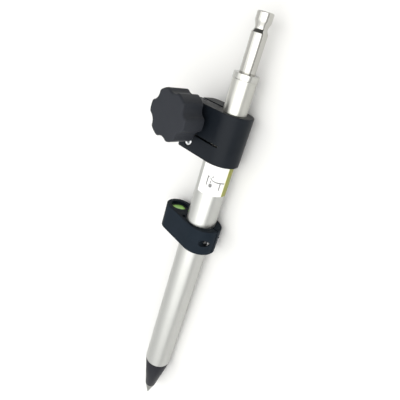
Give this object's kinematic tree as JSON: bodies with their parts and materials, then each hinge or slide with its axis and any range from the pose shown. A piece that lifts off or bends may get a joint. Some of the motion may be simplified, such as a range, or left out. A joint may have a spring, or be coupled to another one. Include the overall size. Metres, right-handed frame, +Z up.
{
  "type": "prism pole",
  "caption": "Short telescoping survey pole with a steel ground point, round bubble level, split clamp with a lobed knob, and a quick-fit prism stub.",
  "frame": {"origin": "tip of the steel point", "axes": "+Z up the pole towards the prism stub; the clamp's and level's arms reach out towards -X and +Y"},
  "size_m": [0.0816, 0.0609, 0.3875],
  "materials": {
    "steel_point": "ground",
    "holder_black": "semi-matte black",
    "tube_silver": "satin anodised",
    "bush_white": "machined plastic",
    "clamp_black": "black anodised",
    "sleeve_black": "moulded",
    "bush_steel": "zinc plated",
    "screw_bright": "zinc plated",
    "keeper_bright": "zinc plated",
    "label_film": "printed film",
    "bracket_black": "black anodised",
    "screw_black": "black oxide",
    "case_black": "moulded",
    "base_white": "pale disc",
    "seal_black": "rubber",
    "lens_clear": "clear",
    "liquid_green": "green liquid",
    "bubble_air": "air bubble",
    "vial_screw_steel": "zinc plated",
    "knob_plastic": "fine moulded texture",
    "insert_brass": "knurled",
    "stud_steel": "zinc plated",
    "washer_steel": "zinc plated",
    "inner_silver": "satin anodised",
    "plug_silver": "turned",
    "stub_steel": "turned and polished",
    "ring_white": "machined plastic",
    "clip_steel": "spring steel",
    "cap_black": "turned plastic"
  },
  "bodies": {
    "lower_pole": {"steel_point": "steel_point", "point_holder": "holder_black", "outer_tube": "tube_silver", "guide_bush": "bush_white", "clamp_body": "clamp_black", "grip_sleeve": "sleeve_black", "clamp_bush": "bush_steel", "clamp_pinch_screw": "screw_bright", "stud_keeper": "keeper_bright", "tube_label": "label_film", "level_bracket": "bracket_black", "bracket_pinch_screw": "screw_black", "vial_case": "case_black", "vial_base": "base_white", "vial_seal": "seal_black", "vial_lens": "lens_clear", "vial_liquid": "liquid_green", "vial_bubble": "bubble_air", "vial_screws": "vial_screw_steel"},
    "knob_washer": {"thrust_washer": "washer_steel"},
    "clamp_knob": {"knob": "knob_plastic", "knob_insert": "insert_brass", "knob_stud": "stud_steel"},
    "pole_guide": {"guide_ring": "ring_white"},
    "upper_pole": {"inner_tube": "inner_silver", "head_plug": "plug_silver", "prism_stub": "stub_steel", "retaining_ring": "clip_steel", "inner_end_cap": "cap_black"}
  },
  "joints": [
    {"name": "telescope", "type": "slide", "parent": "lower_pole", "child": "pole_guide", "axis": [0, 0, 1], "range_m": [-0.024, 0.138]},
    {"name": "pole_turn", "type": "hinge", "parent": "pole_guide", "child": "upper_pole", "pos_m": [0, 0, 0.2], "axis": [0, 0, 1], "continuous": true},
    {"name": "knob_travel", "type": "slide", "parent": "lower_pole", "child": "knob_washer", "axis": [-0.6018, -0.7986, 0], "range_m": [0, 0.0015]},
    {"name": "knob_turn", "type": "hinge", "parent": "knob_washer", "child": "clamp_knob", "pos_m": [-0.02156, 0.01625, 0.305], "axis": [-0.6018, -0.7986, 0], "range_deg": [0, 540]}
  ],
  "couplings": [
    {"joint": "knob_travel", "follows": "knob_turn", "m_per_rad": 0.00015915}
  ]
}
